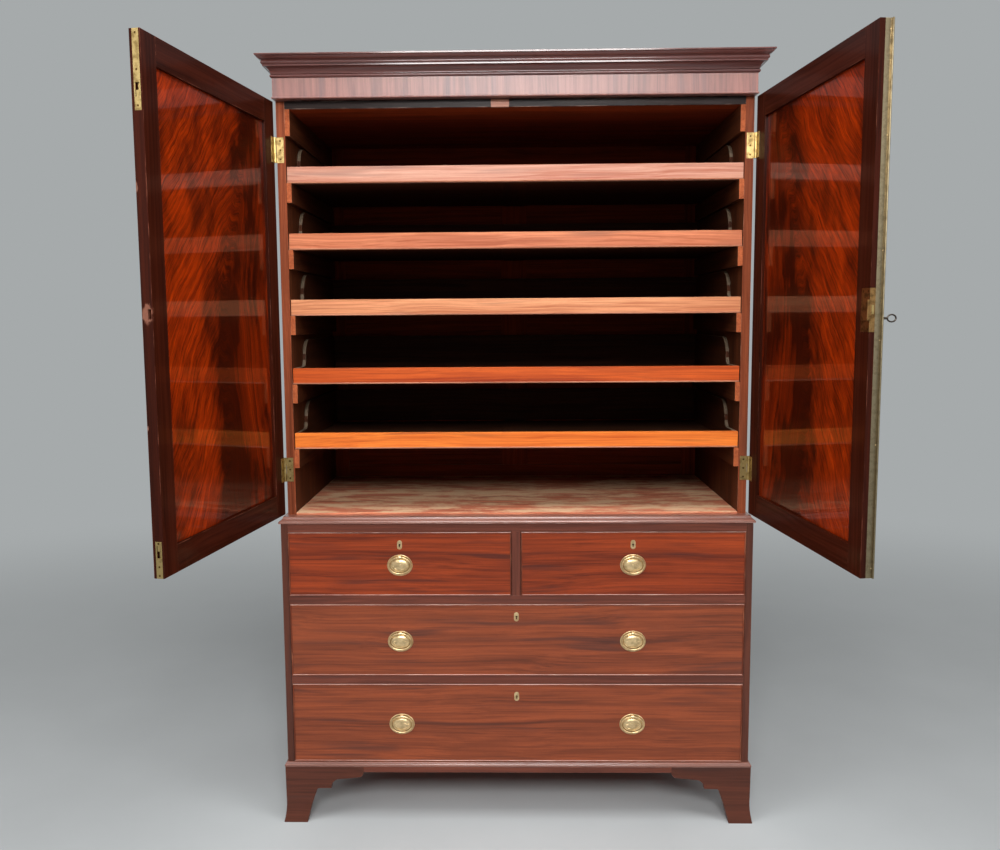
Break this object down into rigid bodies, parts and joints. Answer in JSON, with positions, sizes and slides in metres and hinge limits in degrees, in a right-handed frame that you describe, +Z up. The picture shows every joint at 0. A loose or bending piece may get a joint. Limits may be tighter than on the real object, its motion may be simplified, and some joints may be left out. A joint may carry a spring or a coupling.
{
  "type": "linen press",
  "caption": "Mahogany linen press: sliding trays behind two panelled doors, over short and long drawers on bracket feet.",
  "frame": {"origin": "on the floor, at the middle of the width, in the plane of the shut doors' front faces", "axes": "+X to the right as seen from the front, +Y to the back, +Z up"},
  "size_m": [1.4755, 1.1896, 2.021],
  "materials": {
    "carcase_wood": "dark french polish",
    "interior_wood": "unpolished, aged",
    "cornice_wood": "dark french polish, cross-banded frieze",
    "tray_wood": "satin mahogany",
    "drawer_wood": "polished mahogany",
    "door_frame_wood": "dark polished mahogany",
    "door_panel_wood": "polished flame mahogany",
    "handle_brass": "stamped, lightly aged",
    "hinge_brass": "aged",
    "steel": "dark, worn"
  },
  "bodies": {
    "case": {"base_moulding": "carcase_wood", "case_hinges": "hinge_brass", "chest_back": "interior_wood", "chest_floor": "interior_wood", "chest_sides": "carcase_wood", "chest_top": "interior_wood", "cornice": "cornice_wood", "cornice_frame": "interior_wood", "drawer_muntin": "carcase_wood", "drawer_rails": "carcase_wood", "drawer_runners": "interior_wood", "dust_boards": "interior_wood", "foot_blocks": "interior_wood", "frieze": "cornice_wood", "front_feet": "carcase_wood", "plinth_strips": "carcase_wood", "rear_feet": "interior_wood", "tray_runners": "interior_wood", "upper_back_frame": "interior_wood", "upper_back_panels": "interior_wood", "upper_floor": "interior_wood", "upper_sides": "carcase_wood", "upper_top": "carcase_wood", "waist_moulding": "carcase_wood"},
    "left_door": {"left_door_frame": "door_frame_wood", "left_door_panel": "door_panel_wood", "left_door_hinge_leaves": "hinge_brass", "flush_bolt_plates": "hinge_brass"},
    "right_door": {"right_door_frame": "door_frame_wood", "right_door_panel": "door_panel_wood", "right_door_hinge_leaves": "hinge_brass", "astragal": "hinge_brass", "door_lock_case": "hinge_brass"},
    "top_flush_bolt": {"top_flush_bolt": "hinge_brass"},
    "bottom_flush_bolt": {"bottom_flush_bolt": "hinge_brass"},
    "door_lock_bolt": {"door_lock_bolt": "hinge_brass"},
    "door_key": {"door_key": "steel"},
    "tray_1": {"tray_1": "tray_wood"},
    "tray_2": {"tray_2": "tray_wood"},
    "tray_3": {"tray_3": "tray_wood"},
    "tray_4": {"tray_4": "tray_wood"},
    "tray_5": {"tray_5": "tray_wood"},
    "top_left_drawer": {"top_left_drawer": "drawer_wood", "top_left_fittings": "handle_brass"},
    "top_left_lock_bolt": {"top_left_lock_bolt": "steel"},
    "top_right_drawer": {"top_right_drawer": "drawer_wood", "top_right_fittings": "handle_brass"},
    "top_right_lock_bolt": {"top_right_lock_bolt": "steel"},
    "middle_drawer": {"middle_drawer": "drawer_wood", "middle_fittings": "handle_brass"},
    "middle_lock_bolt": {"middle_lock_bolt": "steel"},
    "bottom_drawer": {"bottom_drawer": "drawer_wood", "bottom_fittings": "handle_brass"},
    "bottom_lock_bolt": {"bottom_lock_bolt": "steel"},
    "top_left_ring": {"top_left_ring": "handle_brass"},
    "top_right_ring": {"top_right_ring": "handle_brass"},
    "middle_left_ring": {"middle_left_ring": "handle_brass"},
    "middle_right_ring": {"middle_right_ring": "handle_brass"},
    "bottom_left_ring": {"bottom_left_ring": "handle_brass"},
    "bottom_right_ring": {"bottom_right_ring": "handle_brass"}
  },
  "joints": [
    {"name": "left_door_swing", "type": "hinge", "parent": "case", "child": "left_door", "pos_m": [-0.6145, 0.0235, 1.3805], "axis": [0, 0, -1], "range_deg": [-99, 81]},
    {"name": "right_door_swing", "type": "hinge", "parent": "case", "child": "right_door", "pos_m": [0.6145, 0.0235, 1.3805], "axis": [0, 0, 1], "range_deg": [-96, 84]},
    {"name": "top_flush_bolt_slide", "type": "slide", "parent": "left_door", "child": "top_flush_bolt", "axis": [0, 0, 1], "range_m": [0, 0.012]},
    {"name": "bottom_flush_bolt_slide", "type": "slide", "parent": "left_door", "child": "bottom_flush_bolt", "axis": [0, 0, -1], "range_m": [0, 0.012]},
    {"name": "key_turn", "type": "hinge", "parent": "right_door", "child": "door_key", "pos_m": [0.70012, -0.56628, 1.3585], "axis": [0.9945, 0.1045, 0], "range_deg": [0, 180]},
    {"name": "door_lock_bolt_slide", "type": "slide", "parent": "right_door", "child": "door_lock_bolt", "axis": [0.1045, -0.9945, 0], "range_m": [0, 0.008]},
    {"name": "tray_1_slide", "type": "slide", "parent": "case", "child": "tray_1", "axis": [0, -1, 0], "range_m": [0, 0.4]},
    {"name": "tray_2_slide", "type": "slide", "parent": "case", "child": "tray_2", "axis": [0, -1, 0], "range_m": [0, 0.4]},
    {"name": "tray_3_slide", "type": "slide", "parent": "case", "child": "tray_3", "axis": [0, -1, 0], "range_m": [0, 0.4]},
    {"name": "tray_4_slide", "type": "slide", "parent": "case", "child": "tray_4", "axis": [0, -1, 0], "range_m": [0, 0.4]},
    {"name": "tray_5_slide", "type": "slide", "parent": "case", "child": "tray_5", "axis": [0, -1, 0], "range_m": [0, 0.4]},
    {"name": "top_left_drawer_slide", "type": "slide", "parent": "case", "child": "top_left_drawer", "axis": [0, -1, 0], "range_m": [0, 0.4]},
    {"name": "top_left_lock_bolt_slide", "type": "slide", "parent": "top_left_drawer", "child": "top_left_lock_bolt", "axis": [0, 0, 1], "range_m": [0, 0.008]},
    {"name": "top_right_drawer_slide", "type": "slide", "parent": "case", "child": "top_right_drawer", "axis": [0, -1, 0], "range_m": [0, 0.4]},
    {"name": "top_right_lock_bolt_slide", "type": "slide", "parent": "top_right_drawer", "child": "top_right_lock_bolt", "axis": [0, 0, 1], "range_m": [0, 0.008]},
    {"name": "middle_drawer_slide", "type": "slide", "parent": "case", "child": "middle_drawer", "axis": [0, -1, 0], "range_m": [0, 0.4]},
    {"name": "middle_lock_bolt_slide", "type": "slide", "parent": "middle_drawer", "child": "middle_lock_bolt", "axis": [0, 0, 1], "range_m": [0, 0.008]},
    {"name": "bottom_drawer_slide", "type": "slide", "parent": "case", "child": "bottom_drawer", "axis": [0, -1, 0], "range_m": [0, 0.4]},
    {"name": "bottom_lock_bolt_slide", "type": "slide", "parent": "bottom_drawer", "child": "bottom_lock_bolt", "axis": [0, 0, 1], "range_m": [0, 0.008]},
    {"name": "top_left_ring_swing", "type": "hinge", "parent": "top_left_drawer", "child": "top_left_ring", "pos_m": [-0.30825, -0.015, 0.73555], "axis": [-1, 0, 0], "range_deg": [0, 80]},
    {"name": "top_right_ring_swing", "type": "hinge", "parent": "top_right_drawer", "child": "top_right_ring", "pos_m": [0.30825, -0.015, 0.73555], "axis": [-1, 0, 0], "range_deg": [0, 80]},
    {"name": "middle_left_ring_swing", "type": "hinge", "parent": "middle_drawer", "child": "middle_left_ring", "pos_m": [-0.31, -0.015, 0.52755], "axis": [-1, 0, 0], "range_deg": [0, 80]},
    {"name": "middle_right_ring_swing", "type": "hinge", "parent": "middle_drawer", "child": "middle_right_ring", "pos_m": [0.31, -0.015, 0.52755], "axis": [-1, 0, 0], "range_deg": [0, 80]},
    {"name": "bottom_left_ring_swing", "type": "hinge", "parent": "bottom_drawer", "child": "bottom_left_ring", "pos_m": [-0.31, -0.015, 0.29705], "axis": [-1, 0, 0], "range_deg": [0, 80]},
    {"name": "bottom_right_ring_swing", "type": "hinge", "parent": "bottom_drawer", "child": "bottom_right_ring", "pos_m": [0.31, -0.015, 0.29705], "axis": [-1, 0, 0], "range_deg": [0, 80]}
  ],
  "couplings": [
    {"joint": "key_turn", "follows": "door_lock_bolt_slide", "rad_per_m": 392.7}
  ]
}
